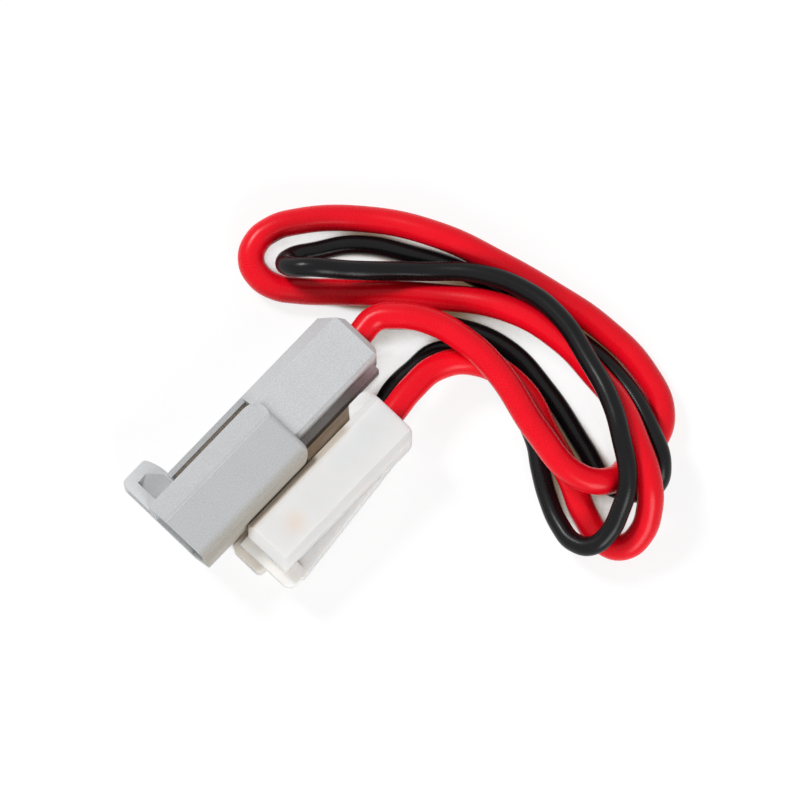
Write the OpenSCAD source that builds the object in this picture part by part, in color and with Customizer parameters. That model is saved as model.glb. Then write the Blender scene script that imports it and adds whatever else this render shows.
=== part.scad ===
// Two-way alternator connector lead: a grey hooded tab housing and a natural nylon plug
// housing, joined by a heavy red wire and a lighter black wire.
// Units are millimetres. The grey housing lies along X with its mouth towards -X, Z is up,
// and the origin is on the flat underside of the grey housing. Left means towards +Y.

/* [Grey housing] */
// Length from the mouth to the wire end
grey_length = 42; // [40:0.5:50]
// Length of the hood, measured from the mouth
hood_length = 23.5; // [21:0.5:28]
// Width of the hood across its mouth
hood_width = 12.8; // [12:0.1:15]
// Height of the hood
hood_height = 13.2; // [12.6:0.1:15]
// Wall of the hood
hood_wall = 1.3; // [1:0.05:1.6]
// Radius along the top right edge of the hood
hood_round = 2; // [1.7:0.1:3]
// Radius along the top rear edge of the hood
hood_rear_round = 1; // [0.5:0.1:1.5]
// Depth of the socket behind the mouth
socket_depth = 18; // [16:0.5:19]
// Width of the sloping facet along the top of the hood, on the latch side
facet_width = 3.8; // [2:0.1:5]
// Drop of the sloping facet towards the latch side
facet_drop = 2.2; // [1:0.1:3]
// Width of the undercut along the lower right edge of the hood
undercut_width = 3; // [1:0.1:4]
// Height of the undercut along the lower right edge of the hood
undercut_height = 5.5; // [3:0.1:7]
// Radius of the hood's rear corners, seen from above
hood_corner = 2.4; // [1:0.1:3]
// Height of the terminal block behind the hood
block_height = 11.7; // [11.5:0.1:12.2]
// Width of the flat top of the terminal block
block_top_width = 8.8; // [8:0.1:9.2]
// Width of the low ledge along the right side of the terminal block
ledge_width = 1.1; // [0.5:0.1:1.3]
// Height of that ledge
ledge_height = 5; // [3:0.1:7]

/* [Latch] */
// Thickness of the guide rail beside the hood
rail_thickness = 0.9; // [0.7:0.05:1.2]
// Width of the slot between the rail and the hood
slot_width = 0.9; // [0.6:0.05:1.2]
// Height of the guide rail
rail_height = 8.4; // [7.6:0.1:9]
// Height of the web at the foot of the slot
web_height = 6.4; // [4:0.1:7]
// Length of the strap block at the mouth
strap_length = 6.1; // [5:0.1:8]
// Reach of the strap block beyond the hood
strap_reach = 6; // [5:0.1:7]
// Height of the strap block
strap_height = 7.4; // [6.8:0.1:8.2]
// Thickness of the bars in front of the latch recess and outside it
strap_bar = 1.8; // [1.4:0.1:2.2]
// Thickness of the bar behind the latch recess
strap_rear_bar = 0.6; // [0.4:0.1:1.2]
// Depth of the latch recess at its lowest corner
recess_depth = 2; // [1.2:0.1:2.2]
// Rise of the recess floor towards its other corners
recess_rise = 1.3; // [0.8:0.1:1.9]

/* [White housing] */
// Length from the shelf at the front to the wire end
white_length = 30.8; // [28:0.2:36]
// Height of the white housing
white_height = 11.4; // [11.2:0.1:12.5]
// Width of the flat top
white_top_width = 6.7; // [6.4:0.1:8]
// Width of the bevel along the right side
white_bevel = 1.15; // [0.6:0.05:1.6]
// Length of the collar at the wire end
collar_length = 4; // [3:0.1:6]
// Height of the shelf at the front
shelf_height = 6.8; // [6:0.1:6.9]
// Thickness of the shelf
shelf_thickness = 2.2; // [1.5:0.1:2.4]
// Distance that the shelf stands ahead of the body
shelf_lead = 1.5; // [1:0.1:2.5]
// Distance that the lower nose stands ahead of the shelf
nose_lead = 1.2; // [0.2:0.1:1.5]
// Length of the sloping top edge at the front of the body
slope_length = 1.4; // [0.8:0.1:2]
// Drop of the sloping top edge
slope_drop = 1.4; // [0.5:0.1:2.2]
// Distance from the front of the shelf to the latch wedge
wedge_lead = 3.1; // [2.6:0.1:4]
// Reach of the latch wedge at its front end
wedge_reach = 2.4; // [1.5:0.1:3]
// Height of the top of the latch wedge
wedge_height = 5.2; // [4:0.1:5.8]
// Height of the low ledge along the left side
foot_height = 3; // [1.5:0.1:3.2]

/* [Terminals] */
// Width of the red wire's contact tab
red_tab_width = 4.8; // [4:0.1:4.9]
// Width of the black wire's contact tab
black_tab_width = 2.8; // [2.2:0.1:3]
// Thickness of the contact tabs
tab_thickness = 0.8; // [0.5:0.05:0.9]
// Length of the tab that stands free in the socket
tab_free_length = 12; // [9:0.5:13]
// Sheet thickness of the terminals
sheet = 0.4; // [0.3:0.05:0.45]
// Height of the folded terminal boxes
terminal_box_height = 2.8; // [2.4:0.1:3]
// Length of the receptacle boxes
receptacle_length = 9.5; // [7:0.1:10]
// Length of the conductor crimps
conductor_crimp = 4; // [3:0.1:4.5]
// Length of the insulation crimps
insulation_crimp = 3.4; // [2.5:0.1:4.5]
// Clearance of the terminals in their cavities
terminal_clearance = 0.2; // [0.1:0.05:0.3]

/* [Wires] */
// Outside diameter of the red wire
red_wire_d = 4.2; // [3.8:0.1:4.4]
// Outside diameter of the black wire
black_wire_d = 3.1; // [2.8:0.1:3.3]
// Diameter of the stripped red conductor
red_conductor_d = 2.3; // [1.8:0.1:2.6]
// Diameter of the stripped black conductor
black_conductor_d = 1.7; // [1.3:0.1:1.9]

/* [Hidden] */
$fn = 48;

// Overlap of tools that cut right through a face
cut = 1;
// Room between a wire and its crimp, and between a crimp and its bore
wire_clearance = 0.05;
bore_clearance = 0.1;
// Room round a mating tab in the plug's entry slots
entry_clearance = [0.3, 0.45];

// Where each wire leaves its housing: [x, y, z]
grey_red_port = [21, 0.5, 8.2];
grey_black_port = [21, 0.5, 3];
white_red_port = [15.7, -11.5, 7.8];
white_black_port = [15.7, -10.5, 2.8];
// Distance from the wire end of a housing to the cut end of the insulation
grey_wire_depth = 11;
white_wire_depth = 8;

// Grey housing: the hood
grey_rear_x = grey_red_port[0];
mouth_x = grey_rear_x - grey_length;
hood_rear_x = mouth_x + hood_length;
socket_back_x = mouth_x + socket_depth;
hood_right = -7.6;
hood_left = hood_right + hood_width;
ridge_y = hood_left - facet_width;
facet_low = hood_height - facet_drop;
undercut_y = hood_right + undercut_width;

// Grey housing: the latch
rail_inner = hood_left + slot_width;
rail_outer = rail_inner + rail_thickness;
slot_rear_x = hood_rear_x - hood_corner / 2;
strap_outer = hood_left + strap_reach;
strap_rear_x = mouth_x + strap_length;
pocket_rear_x = strap_rear_x - strap_rear_bar;
// The rear of the strap is bowed and runs into a round corner
strap_corner = 0.8;
strap_bow = 8.6;
strap_bow_angle = asin((strap_outer - strap_corner - rail_outer) / (strap_bow - strap_corner));
strap_corner_x = strap_rear_x - strap_bow + (strap_bow - strap_corner) * cos(strap_bow_angle);
strap_facet = 15;
latch_gap_height = 3;
latch_gap_floor = 1.6;
latch_gap_side = 1.1;

// Grey housing: the terminal block, set round the wires and flush with the rail
ridge_from_port = 4.3;
block_ridge = grey_red_port[1] + ridge_from_port;
block_left = rail_outer;
block_right = block_ridge - block_top_width;
block_edge_bevel = 0.6;
ledge_right = block_right - ledge_width;
rear_cut_length = 2.6;
rear_cut_wall = 0.4;
rear_cut_y = grey_red_port[1] + crimp_bore(red_wire_d) / 2 + rear_cut_wall;
rear_corner_r = 1.5;
rear_bevel = 0.8;

// White housing: y is measured from the plane of the red wire
white_y = white_red_port[1];
white_rear_x = white_red_port[0];
shelf_front_x = white_rear_x - white_length;
body_front_x = shelf_front_x + shelf_lead;
wedge_front_x = shelf_front_x + wedge_lead;
nose_front_x = shelf_front_x - nose_lead;
nose_height = shelf_height - shelf_thickness;
collar_front_x = white_rear_x - collar_length;
body_left = 3.7;
left_bevel = [1.1, 1];
top_left = body_left - left_bevel[0];
top_right = top_left - white_top_width;
white_right = top_right - white_bevel;
collar_left = 5.4;
collar_ramp = 1.5;
nose_right = -2.3;
nose_corner = 1;
shelf_left = 2.9;
body_corner = 1.2;
wedge_right = white_right - wedge_reach;
wedge_floor = 1.2;
white_corner = 1.6;
front_wall = 2.5;
cavity_front_x = body_front_x + front_wall;
// The ledge on the left reaches under the hood's undercut and keeps this far from it
foot_gap = 0.55;
foot_left = undercut_y - undercut_width * foot_height / undercut_height - foot_gap;
foot_end = 1.9;
foot_rear_x = collar_front_x - foot_end;
// The black wire leans to the left as it leaves the collar
black_exit_y = -9.2;
exit_clearance = 0.2;

function unit(v) = v / norm(v);
function box_width(tab_width) = tab_width + 2 * sheet;
function crimp_outer(d) = d + 2 * wire_clearance + 2 * sheet;
function crimp_bore(d) = crimp_outer(d) + 2 * bore_clearance;

// Points of an arc round a centre
function arc(centre, r, from, to, steps = 6) =
    [for (i = [0 : steps]) let (a = from + (to - from) * i / steps)
        [centre[0] + r * cos(a), centre[1] + r * sin(a)]];

// Section of the hood in the YZ plane, set in by t on every side
function hood_section(t) =
    let (
        under = unit([undercut_height, undercut_width]),
        slope = norm([facet_width, facet_drop])
    ) concat(
        [[hood_left - t, t]],
        [[undercut_y + t * (1 - under[1]) / under[0], t]],
        [[hood_right + t, undercut_height + t * (1 - under[0]) / under[1]]],
        arc([hood_right + hood_round, hood_height - hood_round], hood_round - t, 180, 90),
        [[ridge_y - t * (slope - facet_width) / facet_drop, hood_height - t]],
        [[hood_left - t, facet_low - t * (slope - facet_drop) / facet_width]]);

// Extrudes a YZ outline along X
module along_x(x0, x1) {
    translate([x0, 0, 0]) rotate([90, 0, 90]) linear_extrude(x1 - x0) children();
}

// Extrudes an XZ outline across Y
module across_y(y0, y1) {
    translate([0, y1, 0]) rotate([90, 0, 0]) linear_extrude(y1 - y0) children();
}

module hood_shell() {
    corner_x = hood_rear_x - hood_corner;
    intersection() {
        along_x(mouth_x, hood_rear_x) polygon(hood_section(0));
        linear_extrude(hood_height) polygon(concat(
            [[mouth_x, hood_left], [mouth_x, hood_right]],
            arc([corner_x, hood_right + hood_corner], hood_corner, -90, 0),
            arc([corner_x, hood_left - hood_corner], hood_corner, 0, 90)));
        across_y(hood_right, hood_left) polygon(concat(
            [[mouth_x, 0], [mouth_x, hood_height]],
            arc([hood_rear_x - hood_rear_round, hood_height - hood_rear_round], hood_rear_round, 90, 0),
            [[hood_rear_x, 0]]));
    }
}

module terminal_block() {
    intersection() {
        along_x(socket_back_x, grey_rear_x) polygon([
            [block_left, 0],
            [ledge_right, 0],
            [ledge_right, ledge_height],
            [block_right, ledge_height + block_edge_bevel],
            [block_right, block_height - block_edge_bevel],
            [block_right + block_edge_bevel, block_height],
            [block_ridge, block_height],
            [block_left, rail_height]
        ]);
        linear_extrude(block_height) polygon(concat(
            [[slot_rear_x, block_left], [slot_rear_x, 0], [socket_back_x, 0]],
            [[socket_back_x, ledge_right], [grey_rear_x - rear_corner_r, ledge_right]],
            arc([grey_rear_x - rear_corner_r, block_right + rear_corner_r], rear_corner_r, -90, 0),
            [[grey_rear_x, rear_cut_y], [grey_rear_x - rear_cut_length, block_left]]));
        across_y(ledge_right, block_left) polygon([
            [socket_back_x, 0],
            [grey_rear_x, 0],
            [grey_rear_x, block_height - rear_bevel],
            [grey_rear_x - rear_bevel, block_height],
            [socket_back_x, block_height]
        ]);
    }
}

// Guide rail for the mating latch, from the strap to the terminal block, on a web from the hood
module latch_rail() {
    front_x = strap_rear_x - strap_rear_bar / 2;
    length = slot_rear_x + cut - front_x;
    translate([front_x, rail_inner, 0]) cube([length, rail_thickness, rail_height]);
    translate([front_x, hood_left - hood_wall / 2, 0])
        cube([length, hood_wall / 2 + slot_width + rail_thickness / 2, web_height]);
}

// Tool for the recess in the strap: a block whose floor rises from one corner, clipped to the recess
module strap_recess() {
    size = [pocket_rear_x - mouth_x - strap_bar, strap_outer - strap_bar - hood_left];
    turn_y = -atan(recess_rise / size[0]);
    turn_x = atan(recess_rise / size[1] * cos(turn_y));
    translate([mouth_x + strap_bar, hood_left, strap_height - recess_depth]) intersection() {
        cube([size[0], size[1], recess_depth + cut]);
        rotate([turn_x, turn_y, 0]) translate([-size[0], -size[1], 0]) cube(3 * size[1]);
    }
}

// Strap across the latch channel, with a recess in its top and a gap for the latch
module latch_strap() {
    gap_width = strap_outer - latch_gap_side - hood_left;
    difference() {
        linear_extrude(strap_height) polygon(concat(
            [[mouth_x, hood_left - hood_wall / 2]],
            [[strap_rear_x, hood_left - hood_wall / 2]],
            arc([strap_rear_x - strap_bow, rail_outer], strap_bow, 0, strap_bow_angle),
            arc([strap_corner_x, strap_outer - strap_corner], strap_corner,
                strap_bow_angle + strap_facet, 90),
            arc([mouth_x + strap_corner, strap_outer - strap_corner], strap_corner, 90, 180)));
        strap_recess();
        translate([mouth_x - cut, hood_left, latch_gap_floor])
            cube([strap_length + 2 * cut, gap_width, latch_gap_height]);
    }
}

// Room for a terminal: a flat cavity for its box, then a round bore for its crimps and wire
module terminal_room(port, front_x, wire_depth, wire_d, tab_width) {
    bore_x = port[0] - wire_depth - conductor_crimp - sheet;
    width = box_width(tab_width) + 2 * terminal_clearance;
    height = terminal_box_height + 2 * terminal_clearance;
    translate([front_x, port[1] - width / 2, port[2] - height / 2])
        cube([bore_x - front_x + sheet, width, height]);
    translate([bore_x, port[1], port[2]]) rotate([0, 90, 0])
        cylinder(d = crimp_bore(wire_d), h = port[0] - bore_x + cut);
}

module grey_housing() {
    room_x = socket_back_x - cut;
    color("lightgray") difference() {
        union() {
            hood_shell();
            terminal_block();
            latch_rail();
            latch_strap();
        }
        along_x(mouth_x - cut, socket_back_x) polygon(hood_section(hood_wall));
        terminal_room(grey_red_port, room_x, grey_wire_depth, red_wire_d, red_tab_width);
        terminal_room(grey_black_port, room_x, grey_wire_depth, black_wire_d, black_tab_width);
    }
}

module white_body() {
    rear_x = white_rear_x - white_corner;
    intersection() {
        along_x(body_front_x, white_rear_x) polygon([
            [body_left, 0],
            [top_right, 0],
            [white_right, white_bevel],
            [white_right, white_height - white_bevel],
            [top_right, white_height],
            [top_left, white_height],
            [body_left, white_height - left_bevel[1]]
        ]);
        linear_extrude(white_height) polygon(concat(
            [[body_front_x + body_corner, body_left], [body_front_x, body_left - body_corner]],
            [[body_front_x, white_right]],
            arc([rear_x, white_right + white_corner], white_corner, -90, 0),
            [[white_rear_x, body_left]]));
        across_y(white_right, body_left) polygon([
            [body_front_x, 0],
            [body_front_x, white_height - slope_drop],
            [body_front_x + slope_length, white_height],
            [white_rear_x, white_height],
            [white_rear_x, 0]
        ]);
    }
}

// Collar round the wire end, wider on the left
module white_collar() {
    rear_x = white_rear_x - white_corner;
    linear_extrude(white_height - left_bevel[1]) polygon(concat(
        [[collar_front_x - collar_ramp, body_left], [collar_front_x, white_right]],
        arc([rear_x, white_right + white_corner], white_corner, -90, 0),
        arc([rear_x, collar_left - white_corner], white_corner, 0, 90),
        [[collar_front_x, collar_left]]));
}

// Shelf across the front of the plug, widened on the right to meet the wedge
module white_shelf() {
    translate([0, 0, nose_height]) linear_extrude(shelf_thickness) polygon(concat(
        [[wedge_front_x + cut, wedge_right + cut], [wedge_front_x + cut, shelf_left]],
        [[shelf_front_x, shelf_left]],
        arc([shelf_front_x + white_corner, wedge_right + white_corner], white_corner, 180, 270),
        [[wedge_front_x, wedge_right]]));
}

// Latch wedge moulded along the right side, thickest towards the nose
module white_wedge() {
    translate([0, 0, wedge_floor]) linear_extrude(wedge_height - wedge_floor) polygon([
        [wedge_front_x, wedge_right],
        [wedge_front_x, white_right + cut],
        [collar_front_x, white_right + cut],
        [collar_front_x, white_right]
    ]);
}

// Lower half of the nose, round the black wire's contact
module white_nose() {
    corner_x = nose_front_x + nose_corner;
    linear_extrude(nose_height) polygon(concat(
        [[body_front_x + cut + body_corner, body_left], [body_front_x + cut, nose_right]],
        arc([corner_x, nose_right + nose_corner], nose_corner, 270, 180),
        arc([corner_x, body_left - nose_corner], nose_corner, 180, 90)));
}

// Low ledge along the left side, under the hood
module white_foot() {
    front_x = body_front_x + body_corner;
    translate([front_x, 0, 0]) cube([foot_rear_x - front_x, foot_left - white_y, foot_height]);
}

// Slot that lets a wire lean to the left as it leaves the collar
module leaning_exit(port, exit_y, d) {
    length = white_wire_depth - insulation_crimp + cut;
    from_x = port[0] + cut - length;
    translate([from_x, exit_y, port[2]]) rotate([0, 90, 0]) cylinder(d = d, h = length);
    translate([from_x, port[1], port[2] - d / 2]) cube([length, exit_y - port[1], d]);
}

// Entry slot for a mating tab, from the plug's front to the cavity behind it
module tab_entry(port, front_x, tab_width) {
    width = tab_width + 2 * entry_clearance[0];
    height = tab_thickness + 2 * entry_clearance[1];
    translate([front_x - cut, port[1] - width / 2, port[2] - height / 2])
        cube([cavity_front_x - front_x + 2 * cut, width, height]);
}

module white_housing() {
    color("ivory") difference() {
        translate([0, white_y, 0]) {
            white_body();
            white_collar();
            white_shelf();
            white_wedge();
            white_nose();
            white_foot();
        }
        terminal_room(white_red_port, cavity_front_x, white_wire_depth, red_wire_d, red_tab_width);
        terminal_room(white_black_port, cavity_front_x, white_wire_depth, black_wire_d, black_tab_width);
        tab_entry(white_red_port, body_front_x, red_tab_width);
        tab_entry(white_black_port, nose_front_x, black_tab_width);
        leaning_exit(white_black_port, black_exit_y, black_wire_d + 2 * exit_clearance);
    }
}

// Rolled sheet round a cylinder along X, open along a seam on top
module crimp(x, port, inner_d, length) {
    translate([x, port[1], port[2]]) rotate([0, 90, 0]) difference() {
        cylinder(d = inner_d + 2 * sheet, h = length);
        translate([0, 0, -cut]) cylinder(d = inner_d, h = length + 2 * cut);
        translate([-inner_d, -sheet / 2, -cut]) cube([inner_d, sheet, length + 2 * cut]);
    }
}

// Both crimps of a terminal, and the strip of sheet that joins them to its box
module crimp_end(port, from_x, wire_depth, wire_d, conductor_d) {
    wire_x = port[0] - wire_depth;
    inner_d = conductor_d + 2 * wire_clearance;
    spine_z = port[2] - inner_d / 2 - sheet;
    foot_z = port[2] - crimp_outer(wire_d) / 2;
    crimp(wire_x - conductor_crimp, port, inner_d, conductor_crimp - sheet);
    crimp(wire_x, port, wire_d + 2 * wire_clearance, insulation_crimp);
    translate([from_x, port[1] - conductor_d / 2, spine_z])
        cube([wire_x - from_x, conductor_d, sheet]);
    translate([wire_x - sheet, port[1] - conductor_d / 2, foot_z])
        cube([sheet, conductor_d, spine_z + sheet - foot_z]);
    translate([wire_x - sheet, port[1] - sheet, foot_z])
        cube([2 * sheet, 2 * sheet, sheet]);
}

// Sheet folded to a box that is open at both ends, with its seam along the top
module folded_box(x, port, length, tab_width) {
    width = box_width(tab_width);
    translate([x, port[1], port[2]]) difference() {
        translate([0, -width / 2, -terminal_box_height / 2])
            cube([length, width, terminal_box_height]);
        translate([-cut, -tab_width / 2, sheet - terminal_box_height / 2])
            cube([length + 2 * cut, tab_width, terminal_box_height - 2 * sheet]);
        translate([-cut, -sheet, 0])
            cube([length + 2 * cut, 2 * sheet, terminal_box_height]);
    }
}

// Contact tab with a pointed tip, standing out of a shoulder that closes the box
module tab_blade(port, tab_width) {
    tip = tab_width / 4;
    translate([socket_back_x, port[1], port[2] - tab_thickness / 2])
        linear_extrude(tab_thickness) polygon([
            [sheet, -tab_width / 2],
            [tip - tab_free_length, -tab_width / 2],
            [-tab_free_length, -tab_width / 2 + tip],
            [-tab_free_length, tab_width / 2 - tip],
            [tip - tab_free_length, tab_width / 2],
            [sheet, tab_width / 2]
        ]);
    translate([socket_back_x, port[1] - box_width(tab_width) / 2, port[2] - terminal_box_height / 2])
        cube([2 * sheet, box_width(tab_width), terminal_box_height]);
}

module tab_terminal(port, wire_d, conductor_d, tab_width) {
    crimp_x = port[0] - grey_wire_depth - conductor_crimp;
    tab_blade(port, tab_width);
    folded_box(socket_back_x, port, crimp_x - sheet - socket_back_x, tab_width);
    crimp_end(port, socket_back_x, grey_wire_depth, wire_d, conductor_d);
}

module receptacle_terminal(port, wire_d, conductor_d, tab_width) {
    box_x = cavity_front_x + terminal_clearance;
    folded_box(box_x, port, receptacle_length, tab_width);
    crimp_end(port, box_x, white_wire_depth, wire_d, conductor_d);
}

module red_tab_terminal() {
    color("gold") tab_terminal(grey_red_port, red_wire_d, red_conductor_d, red_tab_width);
}

module black_tab_terminal() {
    color("gold") tab_terminal(grey_black_port, black_wire_d, black_conductor_d, black_tab_width);
}

module red_receptacle_terminal() {
    color("gold") receptacle_terminal(white_red_port, red_wire_d, red_conductor_d, red_tab_width);
}

module black_receptacle_terminal() {
    color("gold") receptacle_terminal(white_black_port, black_wire_d, black_conductor_d, black_tab_width);
}

// Stripped copper at one end of a wire
module conductor_end(port, wire_depth, d) {
    translate([port[0] - wire_depth - conductor_crimp, port[1], port[2]]) rotate([0, 90, 0])
        cylinder(d = d, h = conductor_crimp);
}

module red_conductor() {
    color("peru") conductor_end(grey_red_port, grey_wire_depth, red_conductor_d);
    color("peru") conductor_end(white_red_port, white_wire_depth, red_conductor_d);
}

module black_conductor() {
    color("peru") conductor_end(grey_black_port, grey_wire_depth, black_conductor_d);
    color("peru") conductor_end(white_black_port, white_wire_depth, black_conductor_d);
}

// Route of the red wire between its two ports
red_route = [
    [24.5, 0.5, 8.5], [27, -1.5, 9], [30, -6, 9.4], [31.5, -12, 9.8], [31.5, -19, 9.9],
    [29, -30, 9.4], [28.5, -39, 8], [31.5, -43, 6.6], [35.5, -43.5, 3.8], [40.5, -43.5, 2.2],
    [45, -41.5, 2.2], [48, -35, 2.2], [48.5, -25, 2.2], [47, -16, 2.3], [44.5, -6.5, 3.4],
    [41.5, 2.5, 3.9], [35.5, 13, 2.4], [27, 21, 3], [24, 22.5, 3], [21, 22.8, 2.9],
    [18.5, 21.5, 2.7], [17.5, 19, 2.5], [18, 16, 2.4], [20, 13, 2.2], [24, 8.5, 2.2],
    [33.5, -2.5, 2.7], [40.5, -13.5, 4.9], [42.5, -22.5, 5], [42, -30, 5.7], [41, -36, 7.5],
    [38.5, -42, 8.4], [35.5, -47.5, 8], [32.5, -50.5, 6], [29, -52, 4.1], [26, -51.5, 2.9],
    [24.5, -49, 2.4], [25.5, -43.5, 2.2], [28, -38, 3.1], [30, -31.5, 4.9], [32.5, -22.5, 5.4],
    [30.5, -15, 5.5], [26, -11.5, 6], [20.5, -11, 7], [15.7, -11.5, 7.8]
];

// Route of the black wire between its two ports
black_route = [
    [24.5, 1, 2.7], [27, -1, 2.4], [32.5, -8, 1.7], [36, -16.5, 1.7], [35.5, -26, 1.7],
    [33, -36.5, 1.7], [31.5, -43, 1.7], [32.5, -45.5, 1.7], [34, -47.5, 2.2], [36, -48.5, 3.6],
    [39, -47, 5.8], [41.5, -42.5, 6.1], [44.5, -33, 3.5], [44.5, -23.5, 1.7], [42.5, -14, 1.7],
    [40.5, -4.5, 1.7], [36.5, 4, 1.7], [31.5, 11.5, 1.7], [26, 15.5, 2.1], [23.5, 17, 3.2],
    [21.5, 17, 5.6], [21.5, 15.5, 8.2], [23.5, 13, 9.6], [27.5, 8.5, 8], [35, 1, 5.2],
    [41, -6, 6.1], [44, -13, 6.9], [44.5, -20, 8], [42.5, -28, 9.4], [40, -35, 11.1],
    [37, -40, 11.6], [33, -45.3, 10], [29, -47.5, 8.1], [25.5, -48.5, 6.8], [22.5, -48, 5.6],
    [21, -45.5, 4.1], [21.5, -42, 2.7], [23.5, -37.5, 1.8], [26, -33.5, 1.7], [28.5, -30, 1.7],
    [31, -23, 1.7], [32, -17, 1.7], [31, -13.5, 1.7], [28.5, -9.5, 1.8], [23, -8.5, 2.2],
    [19, -8.4, 2.5], [15.7, -9.2, 2.7]
];

// Closed tube swept through a list of points
module tube(points, d, sides) {
    last = len(points) - 1;
    tangents = [for (i = [0 : last]) unit(points[min(i + 1, last)] - points[max(i - 1, 0)])];
    normals = carried(tangents, 0, [0, 0, 1]);
    rings = [for (i = [0 : last]) each
        [for (k = [0 : sides - 1]) let (a = 360 * k / sides, side = cross(tangents[i], normals[i]))
            points[i] + d / 2 * (cos(a) * normals[i] + sin(a) * side)]];
    polyhedron(rings, concat(
        [[for (k = [0 : sides - 1]) k]],
        [for (i = [0 : last - 1]) for (k = [0 : sides - 1]) let (n = (k + 1) % sides)
            each [[i * sides + k, (i + 1) * sides + k, (i + 1) * sides + n],
                  [i * sides + k, (i + 1) * sides + n, i * sides + n]]],
        [[for (k = [sides - 1 : -1 : 0]) last * sides + k]]));
}

// Carries a normal along the tangents without twisting it
function carried(tangents, i, normal) = i == len(tangents) ? [] :
    let (n = unit(normal - (normal * tangents[i]) * tangents[i]))
        concat([n], carried(tangents, i + 1, n));

// Wire from its cut end in one housing, along its route, to its crimp in the other
module wire(grey_port, route, white_port, d, sides) {
    tube(concat(
        [grey_port - [grey_wire_depth, 0, 0], grey_port],
        route,
        [white_port - [white_wire_depth - insulation_crimp, 0, 0]],
        [white_port - [white_wire_depth, 0, 0]]), d, sides);
}

module red_wire() {
    color("red") wire(grey_red_port, red_route, white_red_port, red_wire_d, 10);
}

module black_wire() {
    color("black") wire(grey_black_port, black_route, white_black_port, black_wire_d, 8);
}

grey_housing();
white_housing();
red_tab_terminal();
black_tab_terminal();
red_receptacle_terminal();
black_receptacle_terminal();
red_wire();
black_wire();
red_conductor();
black_conductor();
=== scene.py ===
# %% [markdown]
# # An alternator connector lead
# The part is a short lead: a grey hooded housing with two contact tabs, a plug housing of
# natural nylon, and a red and a black wire between them. The solids arrive already built and
# in place, so this lesson gives them their looks: the wires become smooth curves, the two
# mouldings get soft edges, and every surface gets its own finish.

# %% Load the frame
import math

import bmesh
import bpy
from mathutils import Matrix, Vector


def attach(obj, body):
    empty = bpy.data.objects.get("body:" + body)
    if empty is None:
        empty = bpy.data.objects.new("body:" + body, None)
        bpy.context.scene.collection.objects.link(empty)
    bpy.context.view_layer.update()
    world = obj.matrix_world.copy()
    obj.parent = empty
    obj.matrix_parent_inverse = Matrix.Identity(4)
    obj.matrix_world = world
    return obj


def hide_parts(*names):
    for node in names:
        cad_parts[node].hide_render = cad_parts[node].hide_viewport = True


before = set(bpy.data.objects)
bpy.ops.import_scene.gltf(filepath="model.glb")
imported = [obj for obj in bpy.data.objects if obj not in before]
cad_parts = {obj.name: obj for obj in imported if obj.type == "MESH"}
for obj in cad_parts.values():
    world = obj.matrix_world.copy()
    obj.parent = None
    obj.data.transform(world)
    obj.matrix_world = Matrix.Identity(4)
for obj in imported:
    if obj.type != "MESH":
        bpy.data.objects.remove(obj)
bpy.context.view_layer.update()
MM = 0.001
print("solids:", ", ".join(sorted(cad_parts)))

# %% [markdown]
# The lead was photographed from almost straight above. A long lens from over a metre away
# keeps both housings free of perspective, so that is what the camera gets: it aims at a
# point on the table, and its lens follows from the width that the picture takes in.

# %% Camera
AZIMUTH = math.radians(-46.28)
ELEVATION = math.radians(82)
CAMERA_DISTANCE = 1.2
PICTURE_WIDTH = 0.1245
PICTURE_CENTRE = Vector((0.01885, -0.01024, 0))
SENSOR_WIDTH = 36

to_camera = Vector((
    math.sin(AZIMUTH) * math.cos(ELEVATION),
    -math.cos(AZIMUTH) * math.cos(ELEVATION),
    math.sin(ELEVATION),
))
bpy.ops.object.camera_add(
    location=PICTURE_CENTRE + CAMERA_DISTANCE * to_camera,
    rotation=(math.pi / 2 - ELEVATION, 0, AZIMUTH),
)
camera = bpy.context.object
camera.data.sensor_width = SENSOR_WIDTH
camera.data.lens = SENSOR_WIDTH * CAMERA_DISTANCE / PICTURE_WIDTH
bpy.context.scene.camera = camera
print(f"camera: {camera.data.lens:.0f} mm lens, {CAMERA_DISTANCE} m away")

# %% [markdown]
# Each wire is a fixed length of cable that was folded into a loose bundle. Its route is a list
# of points that it passes through, in millimetres. A route starts in the grey housing and ends
# in the plug, where the crimps hold the wire, and its second point is the one where the wire
# comes out into the open.

# %% Routes of the wires
red_route = [
    (10, 0.5, 8.2), (21, 0.5, 8.2),
    (24.5, 0.5, 8.5), (27, -1.5, 9), (30, -6, 9.4), (31.5, -12, 9.8), (31.5, -19, 9.9),
    (29, -30, 9.4), (28.5, -39, 8), (31.5, -43, 6.6), (35.5, -43.5, 3.8), (40.5, -43.5, 2.2),
    (45, -41.5, 2.2), (48, -35, 2.2), (48.5, -25, 2.2), (47, -16, 2.3), (44.5, -6.5, 3.4),
    (41.5, 2.5, 3.9), (35.5, 13, 2.4), (27, 21, 3), (24, 22.5, 3), (21, 22.8, 2.9),
    (18.5, 21.5, 2.7), (17.5, 19, 2.5), (18, 16, 2.4), (20, 13, 2.2), (24, 8.5, 2.2),
    (33.5, -2.5, 2.7), (40.5, -13.5, 4.9), (42.5, -22.5, 5), (42, -30, 5.7), (41, -36, 7.5),
    (38.5, -42, 8.4), (35.5, -47.5, 8), (32.5, -50.5, 6), (29, -52, 4.1), (26, -51.5, 2.9),
    (24.5, -49, 2.4), (25.5, -43.5, 2.2), (28, -38, 3.1), (30, -31.5, 4.9), (32.5, -22.5, 5.4),
    (30.5, -15, 5.5), (26, -11.5, 6), (20.5, -11, 7), (15.7, -11.5, 7.8),
    (11.1, -11.5, 7.8), (7.7, -11.5, 7.8),
]
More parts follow.
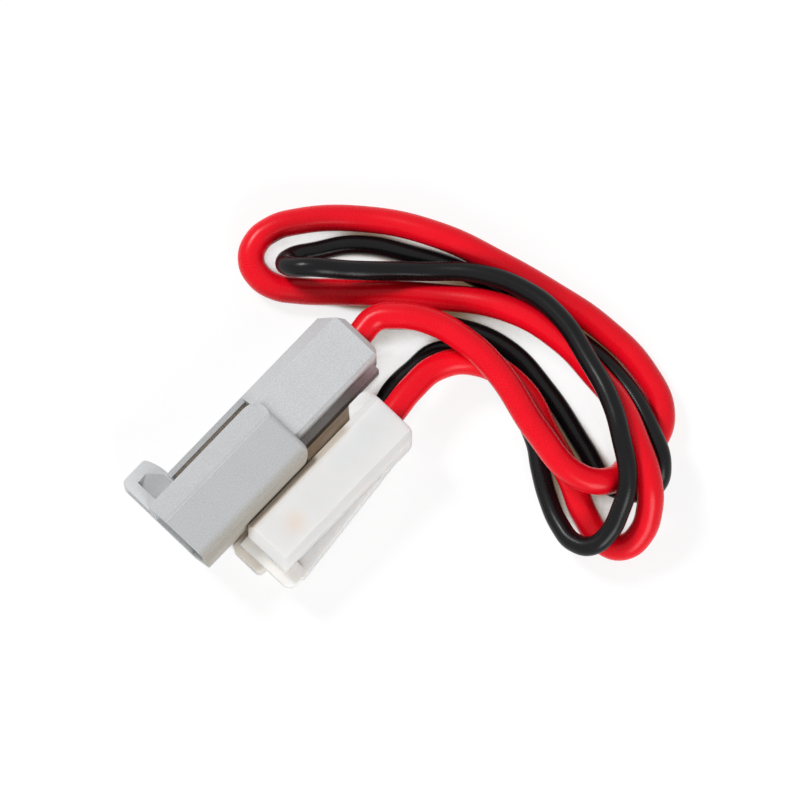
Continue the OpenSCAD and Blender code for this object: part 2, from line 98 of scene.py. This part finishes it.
black_route = [
    (10, 0.5, 3), (21, 0.5, 3),
    (24.5, 1, 2.7), (27, -1, 2.4), (32.5, -8, 1.7), (36, -16.5, 1.7), (35.5, -26, 1.7),
    (33, -36.5, 1.7), (31.5, -43, 1.7), (32.5, -45.5, 1.7), (34, -47.5, 2.2), (36, -48.5, 3.6),
    (39, -47, 5.8), (41.5, -42.5, 6.1), (44.5, -33, 3.5), (44.5, -23.5, 1.7), (42.5, -14, 1.7),
    (40.5, -4.5, 1.7), (36.5, 4, 1.7), (31.5, 11.5, 1.7), (26, 15.5, 2.1), (23.5, 17, 3.2),
    (21.5, 17, 5.6), (21.5, 15.5, 8.2), (23.5, 13, 9.6), (27.5, 8.5, 8), (35, 1, 5.2),
    (41, -6, 6.1), (44, -13, 6.9), (44.5, -20, 8), (42.5, -28, 9.4), (40, -35, 11.1),
    (37, -40, 11.6), (33, -45.3, 10), (29, -47.5, 8.1), (25.5, -48.5, 6.8), (22.5, -48, 5.6),
    (21, -45.5, 4.1), (21.5, -42, 2.7), (23.5, -37.5, 1.8), (26, -33.5, 1.7), (28.5, -30, 1.7),
    (31, -23, 1.7), (32, -17, 1.7), (31, -13.5, 1.7), (28.5, -9.5, 1.8), (23, -8.5, 2.2),
    (19, -8.4, 2.5), (15.7, -9.2, 2.7),
    (11.1, -10.5, 2.8), (7.7, -10.5, 2.8),
]
print("route points:", len(red_route), "red,", len(black_route), "black")

# %% [markdown]
# A tube could be swept along the route ring by ring, but a curve is the right tool for a cable:
# automatic handles keep it smooth, and a round bevel gives it its thickness. A point's own
# radius scales the bevel, and Blender also takes it for the curve's bounding box, so the
# thickness is set there and the bevel itself is left at one.

# %% Wires
RED_DIAMETER = 4.2 * MM
BLACK_DIAMETER = 3.1 * MM
RED_LENGTH = 0.312
BLACK_LENGTH = 0.305
STEPS_PER_POINT = 10
ROUND_STEPS = 6


def wire_along(name, route, diameter):
    """A round cable on one smooth curve through the route's points."""
    bpy.ops.object.select_all(action="DESELECT")
    bpy.ops.curve.primitive_bezier_curve_add()
    wire = bpy.context.object
    wire.name = name
    curve = wire.data
    curve.resolution_u = STEPS_PER_POINT
    curve.bevel_depth = 1
    curve.bevel_resolution = ROUND_STEPS
    curve.use_fill_caps = True
    points = curve.splines[0].bezier_points
    points.add(len(route) - len(points))
    for point, place in zip(points, route):
        point.co = Vector(place) * MM
        point.radius = diameter / 2
        point.handle_left_type = "AUTO"
        point.handle_right_type = "AUTO"
    return wire


red_wire = wire_along("red_cable", red_route, RED_DIAMETER)
black_wire = wire_along("black_cable", black_route, BLACK_DIAMETER)
for wire, route, node, slot, length, diameter in (
    (red_wire, red_route, "red_wire", "red_insulation", RED_LENGTH, RED_DIAMETER),
    (black_wire, black_route, "black_wire", "black_insulation", BLACK_LENGTH, BLACK_DIAMETER),
):
    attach(wire, "root")
    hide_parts(node)
    print(f"{wire.name}: {length * 1000:.0f} mm of {diameter * 1000:.1f} mm cable")

# %% [markdown]
# The housings are injection mouldings. No outer edge of a moulding is knife sharp, and the
# soft glint along an edge is what makes plastic look like plastic. Modelling the housings
# again would only risk a worse fit, so a copy of each solid is cleaned up, its flat faces are
# joined, and a Bevel modifier rounds the edges that stand out. Edges that lie in a corner stay
# sharp, as in a mould. The modifier gives the rounded strips the second of two empty material
# slots. An attribute takes that down, so that a finish can find the strips later, and weighted
# normals keep the large faces flat.

# %% Mouldings with soft edges
JOIN_DISTANCE = 1e-6
FLAT_ANGLE = math.radians(0.5)
EDGE_ANGLE = math.radians(24)
EDGE_RADIUS = 0.3 * MM
EDGE_STEPS = 3
EDGE_SLOT = 1
EDGE_MARK = "soft_edge"


def pick_outer_edges():
    """Selects the sharp edges of the mesh in edit mode that stand out."""
    bpy.ops.mesh.select_mode(type="EDGE")
    bpy.ops.mesh.select_all(action="DESELECT")
    bpy.ops.mesh.edges_select_sharp(sharpness=EDGE_ANGLE)
    mesh = bmesh.from_edit_mesh(bpy.context.object.data)
    for edge in mesh.edges:
        if edge.select and not edge.is_convex:
            edge.select_set(False)
    bmesh.update_edit_mesh(bpy.context.object.data)


def softened_copy(node, name):
    """A copy of a solid, with its flat faces joined and its outer edges rounded."""
    piece = bpy.data.objects.new(name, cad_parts[node].data.copy())
    bpy.context.collection.objects.link(piece)
    bpy.ops.object.select_all(action="DESELECT")
    piece.select_set(True)
    bpy.context.view_layer.objects.active = piece
    piece.data.materials.clear()
    piece.data.materials.append(None)
    piece.data.materials.append(None)
    bpy.ops.object.mode_set(mode="EDIT")
    bpy.ops.mesh.select_all(action="SELECT")
    bpy.ops.mesh.remove_doubles(threshold=JOIN_DISTANCE)
    bpy.ops.mesh.dissolve_limited(angle_limit=FLAT_ANGLE)
    pick_outer_edges()
    bpy.ops.transform.edge_bevelweight(value=1)
    bpy.ops.object.mode_set(mode="OBJECT")

    bevel = piece.modifiers.new("soft edges", "BEVEL")
    bevel.width = EDGE_RADIUS
    bevel.segments = EDGE_STEPS
    bevel.limit_method = "WEIGHT"
    bevel.material = EDGE_SLOT
    bpy.ops.object.modifier_apply(modifier=bevel.name)
    faces = piece.data.polygons
    mark = piece.data.attributes.new(EDGE_MARK, "FLOAT", "FACE")
    on_edges = [float(face.material_index == EDGE_SLOT) for face in faces]
    mark.data.foreach_set("value", on_edges)
    faces.foreach_set("material_index", [0] * len(faces))
    piece.data.materials.clear()

    bpy.ops.object.shade_smooth_by_angle(angle=EDGE_ANGLE)
    flat = piece.modifiers.new("flat faces", "WEIGHTED_NORMAL")
    flat.keep_sharp = True
    bpy.ops.object.modifier_apply(modifier=flat.name)
    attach(piece, "root")
    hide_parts(node)
    print(f"{name}: {len(on_edges)} faces, {sum(on_edges):.0f} of them on edges")
    return piece


grey_housing = softened_copy("grey_housing", "grey_moulding")
white_housing = softened_copy("white_housing", "natural_moulding")

# %% [markdown]
# A finish is a small network of nodes. Written out node by node it is hard to follow, so a
# little class wraps one socket of the network: signals can be added and multiplied like
# numbers, and one method makes any other node.

# %% Signals


class Signal:
    """A socket of a material's nodes that can be used in a Python expression."""

    def __init__(self, tree, socket=None):
        self.tree = tree
        self.socket = socket

    def node(self, kind, settings, sockets, output=0):
        """Adds a node, sets it up, fills its sockets and gives one of its outputs."""
        made = self.tree.nodes.new(kind)
        for name, value in settings.items():
            setattr(made, name, value)
        for name, value in sockets.items():
            if isinstance(value, Signal):
                self.tree.links.new(value.socket, made.inputs[name])
            else:
                made.inputs[name].default_value = value
        return Signal(self.tree, made.outputs[output])

    def math(self, operation, first, second):
        return self.node("ShaderNodeMath", {"operation": operation}, {0: first, 1: second})

    def __add__(self, other):
        return self.math("ADD", self, other)

    def __radd__(self, other):
        return self.math("ADD", other, self)

    def __sub__(self, other):
        return self.math("SUBTRACT", self, other)

    def __rsub__(self, other):
        return self.math("SUBTRACT", other, self)

    def __mul__(self, other):
        return self.math("MULTIPLY", self, other)

    def __rmul__(self, other):
        return self.math("MULTIPLY", other, self)

    def place(self):
        """Object coordinates, in metres from the part's origin."""
        return self.node("ShaderNodeTexCoord", {}, {}, "Object")

    def mark(self, name):
        """An attribute that is stored on the piece's own mesh."""
        return self.node("ShaderNodeAttribute", {"attribute_name": name}, {}, "Fac")

    def noise(self, size, detail, stretch=(1, 1, 1)):
        """Soft blotches about as large as size, as a value round a half."""
        scaled = self.node("ShaderNodeMapping", {}, {"Vector": self.place(), "Scale": stretch})
        return self.node("ShaderNodeTexNoise", {},
                         {"Vector": scaled, "Scale": 1 / size, "Detail": detail})

    def ramp(self, value, low, high):
        """Zero below low, one above high, and smooth between them."""
        return self.node("ShaderNodeMapRange", {"interpolation_type": "SMOOTHSTEP"},
                         {"Value": value, "From Min": low, "From Max": high})

    def fade(self, axis, start, end):
        """Zero before start, one past end, along one axis, with both in millimetres."""
        along = self.node("ShaderNodeSeparateXYZ", {}, {"Vector": self.place()}, axis)
        return self.ramp(along, start * MM, end * MM)

    def mix(self, amount, first, second):
        """A colour between two colours."""
        return self.node("ShaderNodeMix", {"data_type": "RGBA"},
                         {0: amount, 6: first, 7: second}, 2)

    def tint(self, amount, colour, shade_colour):
        """A colour that is multiplied by another colour, here a painted shade."""
        return self.node("ShaderNodeMix", {"data_type": "RGBA", "blend_type": "MULTIPLY"},
                         {0: amount, 6: colour, 7: shade_colour}, 2)

    def bump(self, height, depth, strength):
        """A normal for small relief of that depth."""
        return self.node("ShaderNodeBump", {},
                         {"Height": height, "Distance": depth, "Strength": strength})


def new_finish(name):
    """An empty material, with its signal maker and its Principled shader."""
    material = bpy.data.materials.new(name)
    material.use_nodes = True
    shader = material.node_tree.nodes["Principled BSDF"]
    return material, Signal(material.node_tree), shader


def feed(shader, **inputs):
    """Links signals to the shader's sockets and sets plain values on them."""
    for name, value in inputs.items():
        socket = shader.inputs[name.replace("_", " ")]
        if isinstance(value, Signal):
            value.tree.links.new(value.socket, socket)
        else:
            socket.default_value = value


print("signals ready")

# %% [markdown]
# The grey housing is filled nylon: matt, with the fine grain of its mould and a slight
# cloudiness. Its rounded edges are a little paler, as painted highlight together with some rub
# wear. Noise at two sizes gives the grain and the clouds, and the attribute on the rounded
# strips gives the edges. The rest is painted light and shade by place. Painted shade darkens
# the hood, and its crown most of all. The side that lies against the plug gets painted shade
# with a painted warm reflection of the plug, painted light makes the slot beside the rail paler
# and warmer, and painted light makes the pocket of the latch strap paler.

# %% Grey nylon
GREY_DARK = (0.5, 0.515, 0.53, 1)
GREY_LIGHT = (0.58, 0.59, 0.6, 1)
GREY_GRAIN = (0.64, 0.65, 0.66, 1)
GREY_EDGE_HIGHLIGHT_AND_WEAR = (0.7, 0.71, 0.72, 1)
STRAP_POCKET_LIGHT = (0.78, 0.795, 0.81, 1)
HOOD_SHADE = (0.84, 0.84, 0.84, 1)
PLUG_SIDE_WARM_SHADE = (0.77, 0.7, 0.6, 1)
SLOT_WARM_LIGHT = (0.8, 0.7, 0.6, 1)
GREY_CLOUD_SIZE = 6 * MM
GREY_GRAIN_SIZE = 0.22 * MM
GREY_GRAIN_DEPTH = 0.03 * MM


def grey_nylon_finish():
    material, nodes, shader = new_finish("grey nylon")
    cloud = nodes.noise(GREY_CLOUD_SIZE, 3)
    grain = nodes.noise(GREY_GRAIN_SIZE, 2)
    colour = nodes.mix(cloud, GREY_DARK, GREY_LIGHT)
    colour = nodes.mix(nodes.ramp(grain, 0.35, 0.7), colour, GREY_GRAIN)

    # Painted shade: the hood is darkened, and its crown most of all.
    hood = nodes.fade("X", 3, 1.5)
    crown = nodes.fade("Z", 12.8, 13.15)
    colour = nodes.tint(0.45 * hood + 0.55 * crown, colour, HOOD_SHADE)
    # Painted shade with a painted warm reflection of the plug on the side that faces it.
    plug_side_shade = nodes.fade("Y", -5, -6.9) * (0.4 + 0.6 * nodes.fade("Z", 4, 9))
    colour = nodes.tint(plug_side_shade, colour, PLUG_SIDE_WARM_SHADE)
    # Painted light: the deep slot beside the rail is made paler and warmer.
    slot = (nodes.fade("Y", 5.1, 5.3) * nodes.fade("Y", 6.2, 6)
            * nodes.fade("Z", 8.5, 7.9) * nodes.fade("X", -15, -14))
    colour = nodes.mix(0.9 * slot, colour, SLOT_WARM_LIGHT)
    # Painted light: the pocket of the latch strap is made paler.
    strap = (nodes.fade("Y", 5.1, 5.4) * nodes.fade("Z", 10.5, 9.5)
             * nodes.fade("X", -14.5, -15.5))
    colour = nodes.mix(0.4 * strap, colour, STRAP_POCKET_LIGHT)
    # Painted highlight with some rub wear: the rounded edges are paler, but not on the shaded
    # plug side.
    edge_highlight_and_wear = nodes.mark(EDGE_MARK) * (1 - plug_side_shade)
    colour = nodes.mix(0.6 * edge_highlight_and_wear, colour, GREY_EDGE_HIGHLIGHT_AND_WEAR)

    feed(shader, Base_Color=colour, Roughness=0.5 + 0.15 * grain,
         Normal=nodes.bump(grain, GREY_GRAIN_DEPTH, 0.5))
    return material


grey_housing.data.materials.append(grey_nylon_finish())
print("finish:", grey_housing.data.materials[0].name)

# %% [markdown]
# The plug housing is natural nylon, with no pigment. It is milky where it is thick, and
# subsurface scattering gives the milk. The rest is painted light and shade by place. Painted
# amber shade lies towards the bottom, on its nose, on the side that gets no light and along the
# top edge beside the gap, with height and side steering it. Painted light makes the front paler
# and warmer, and paints a paler highlight on the rounded edges. The brass inside is painted as
# a peach coloured patch of light that shines through, made by the distance from one point.
# Clear nylon round real brass would give the patch by itself, but it is slow and noisy to
# render.

# %% Natural nylon
MILK_DARK = (0.78, 0.775, 0.765, 1)
MILK_LIGHT = (0.84, 0.835, 0.83, 1)
FRONT_LIGHT = (0.92, 0.89, 0.85, 1)
AMBER_SHADE = (0.68, 0.62, 0.54, 1)
GAP_EDGE_SHADE = (0.5, 0.39, 0.27, 1)
GAP_SIDE_SHADE = (0.42, 0.31, 0.2, 1)
BRASS_PEACH = (0.84, 0.68, 0.56, 1)
BRASS_PLACE = Vector((-7.2, -12.8, 11.4)) * MM
BRASS_REACH = 3 * MM
MILK_CLOUD_SIZE = 5 * MM
MILK_GRAIN_SIZE = 0.3 * MM
MILK_GRAIN_DEPTH = 0.02 * MM
MILK_SCATTER = 1.7 * MM
MILK_SCATTER_RGB = (1.0, 0.9, 0.8)


def natural_nylon_finish():
    material, nodes, shader = new_finish("natural nylon")
    cloud = nodes.noise(MILK_CLOUD_SIZE, 2)
    grain = nodes.noise(MILK_GRAIN_SIZE, 2)
    colour = nodes.mix(cloud, MILK_DARK, MILK_LIGHT)

    # Painted shade: amber towards the bottom.
    lower_shade = nodes.fade("Z", 5, 1)
    colour = nodes.mix(0.2 * lower_shade, colour, AMBER_SHADE)
    # Painted shade: amber on the side in the gap next to the grey housing.
    in_gap = nodes.fade("Y", -8.4, -7.6) * nodes.fade("Z", 10.4, 8)
    colour = nodes.mix(0.85 * in_gap, colour, GAP_SIDE_SHADE)
    # Painted shade: amber along the top edge beside the gap.
    by_gap = nodes.fade("Y", -9.5, -8.2) * nodes.fade("X", 10, 8)
    colour = nodes.mix(0.7 * by_gap, colour, GAP_EDGE_SHADE)
    # Painted light: the front below the top is made paler and warmer.
    front = nodes.fade("X", -10, -12.5) * nodes.fade("Z", 10.5, 8.5)
    colour = nodes.mix(0.6 * front, colour, FRONT_LIGHT)
    # Painted shade: amber on the nose.
    nose = nodes.fade("X", -14.6, -15.3) * nodes.fade("Z", 5.4, 4.6)
    colour = nodes.mix(0.6 * nose, colour, AMBER_SHADE)
    # Painted light: a peach patch where the brass inside would shine through the nylon.
    to_brass = nodes.node("ShaderNodeVectorMath", {"operation": "DISTANCE"},
                          {0: nodes.place(), 1: BRASS_PLACE}, "Value")
    colour = nodes.mix(0.5 * nodes.ramp(to_brass, BRASS_REACH, 0), colour, BRASS_PEACH)
    # Painted highlight: the rounded edges are made paler.
    colour = nodes.mix(0.5 * nodes.mark(EDGE_MARK), colour, MILK_LIGHT)

    feed(shader, Base_Color=colour, Roughness=0.4 + 0.12 * grain,
         Normal=nodes.bump(grain, MILK_GRAIN_DEPTH, 0.4), Subsurface_Weight=1.0,
         Subsurface_Radius=MILK_SCATTER_RGB, Subsurface_Scale=MILK_SCATTER)
    return material


white_housing.data.materials.append(natural_nylon_finish())
print("finish:", white_housing.data.materials[0].name)

# %% [markdown]
# The wires are covered in soft PVC with a satin gloss. It carries the fine orange peel of the
# extruder, which breaks up the highlights, and its colour is a little uneven along the wire. It
# mirrors less than hard plastic does, so the shader's specular level is low.

# %% Wire insulation
PATCH_SIZE = 4 * MM
PEEL_SIZE = 0.3 * MM
PEEL_DEPTH = 0.03 * MM
PVC_ROUGHNESS = 0.22
PVC_SHINE = 0.18


def insulation_finish(name, dark, light):
    material, nodes, shader = new_finish(name)
    patch = nodes.noise(PATCH_SIZE, 2)
    peel = nodes.noise(PEEL_SIZE, 3)
    feed(shader, Base_Color=nodes.mix(patch, dark, light),
         Roughness=PVC_ROUGHNESS + 0.12 * peel, Specular_IOR_Level=PVC_SHINE,
         Normal=nodes.bump(peel, PEEL_DEPTH, 0.35))
    return material


red_wire.data.materials.append(insulation_finish(
    "red insulation", dark=(0.83, 0.003, 0.012, 1), light=(0.95, 0.005, 0.02, 1)))
black_wire.data.materials.append(insulation_finish(
    "black insulation", dark=(0.003, 0.003, 0.004, 1), light=(0.007, 0.007, 0.008, 1)))
print("finishes:", red_wire.data.materials[0].name, "and", black_wire.data.materials[0].name)

# %% [markdown]
# The terminals are stamped from brass strip and the conductors are copper strands. Both are
# hidden but for a glint in the mouth of the grey housing, and still get a metal of their own.
# Their solids have the right shape, so they stay and only change their material. The noise is
# drawn out along the strip, as rolling and drawing leave it.

# %% Metals
STREAK_SIZE = 0.4 * MM
STREAK_STRETCH = (0.1, 1, 1)


def metal_finish(name, dull, bright, roughness):
    material, nodes, shader = new_finish(name)
    streaks = nodes.noise(STREAK_SIZE, 2, STREAK_STRETCH)
    feed(shader, Base_Color=nodes.mix(streaks, dull, bright), Metallic=1.0,
         Roughness=roughness + 0.2 * streaks)
    return material


metals = {
    "_terminal": metal_finish(
        "terminal brass", dull=(0.62, 0.46, 0.2, 1), bright=(0.82, 0.66, 0.36, 1), roughness=0.2),
    "_conductor": metal_finish(
        "copper strands", dull=(0.6, 0.3, 0.16, 1), bright=(0.8, 0.46, 0.28, 1), roughness=0.25),
}
for node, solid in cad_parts.items():
    for ending, metal in metals.items():
        if node.endswith(ending):
            solid.data.materials.clear()
            solid.data.materials.append(metal)
            print(f"{node}: {metal.name}")

# %% [markdown]
# The lead lies on a white table. More light would make the table white and burn out the lead,
# so the table glows instead, but only for the rays that show it: those from the camera, and
# those that a mirror or a clear thing sends on. To all other rays it is plain and pale, and
# throws light back up at the lead. The glow leaves room for some plain white, which keeps the
# lead's shadow. In narrow gaps the glow dies away to a dim brown, a painted shade where no light
# would get in.

# %% Table
TABLE_SIZE = 4
TABLE_DROP = 0.1 * MM
TABLE_PALE = (0.85, 0.85, 0.85, 1)
TABLE_SHADOWED = (0.2, 0.2, 0.2, 1)
TABLE_GLOW = (0.83, 0.83, 0.83, 1)
GAP_GLOW = (0.13, 0.08, 0.04, 1)
NO_GLOW = (0, 0, 0, 1)
GAP_REACH = 14 * MM
GAP_SAMPLES = 32


def seen_directly(nodes):
    """One for rays that show the surround: camera, mirror and see-through rays."""
    seen = nodes.node("ShaderNodeLightPath", {}, {}, "Is Camera Ray")
    for kind in ("Is Glossy Ray", "Is Transmission Ray"):
        seen = nodes.math("MAXIMUM", seen, nodes.node("ShaderNodeLightPath", {}, {}, kind))
    return seen


bpy.ops.object.select_all(action="DESELECT")
bpy.ops.mesh.primitive_plane_add(size=TABLE_SIZE, location=(0, 0, -TABLE_DROP))
table = bpy.context.object
table.name = "table"
table_material, nodes, shader = new_finish("white table")
seen = seen_directly(nodes)
open_sky = nodes.node("ShaderNodeAmbientOcclusion", {"samples": GAP_SAMPLES},
                      {"Distance": GAP_REACH}, "AO")
# Painted shade: in narrow gaps the glow fades to a dim brown.
glow = nodes.mix(nodes.ramp(open_sky, 0.12, 0.23), GAP_GLOW, TABLE_GLOW)
feed(shader, Base_Color=nodes.mix(seen, TABLE_PALE, TABLE_SHADOWED),
     Roughness=0.9, Specular_IOR_Level=0.0,
     Emission_Color=nodes.mix(seen, NO_GLOW, glow), Emission_Strength=1.0)
table.data.materials.append(table_material)
print("table:", TABLE_SIZE, "m wide")

# %% [markdown]
# Two soft lamps light the lead, at a level at which a colour comes out about as it is written.
# The key lamp hangs over the latch side and is the smaller one, so that it draws a clear streak
# along each wire. The fill lamp is wide and low, and lights the sides that the key lamp leaves
# dark. A faint even surround softens the shadows, and looks white to the rays that show it.

# %% Light
SURROUND_LIGHT = (0.27, 0.27, 0.27, 1)
SURROUND_WHITE = (1, 1, 1, 1)

world = bpy.data.worlds.new("surround")
bpy.context.scene.world = world
world.use_nodes = True
nodes = Signal(world.node_tree)
feed(world.node_tree.nodes["Background"], Strength=1.0,
     Color=nodes.mix(seen_directly(nodes), SURROUND_LIGHT, SURROUND_WHITE))


def soft_lamp(name, place, size, watts):
    """A square soft box that faces the lead."""
    aim = PICTURE_CENTRE - Vector(place)
    bpy.ops.object.light_add(type="AREA", location=place,
                             rotation=aim.to_track_quat("-Z", "Y").to_euler())
    lamp = bpy.context.object
    lamp.name = name
    lamp.data.size = size
    lamp.data.energy = watts
    print(f"{name}: {watts} W, {size} m wide")


soft_lamp("key lamp", place=(0.0, 0.55, 0.58), size=0.18, watts=3.9)
soft_lamp("fill lamp", place=(-0.28, -0.62, 0.42), size=0.4, watts=3.6)
bpy.context.scene.view_settings.view_transform = "Standard"

# %% [markdown]
# The dressed lead has to keep to the size of its solids. The last step brings the scene up to
# date.

# %% Update the scene
bpy.context.view_layer.update()
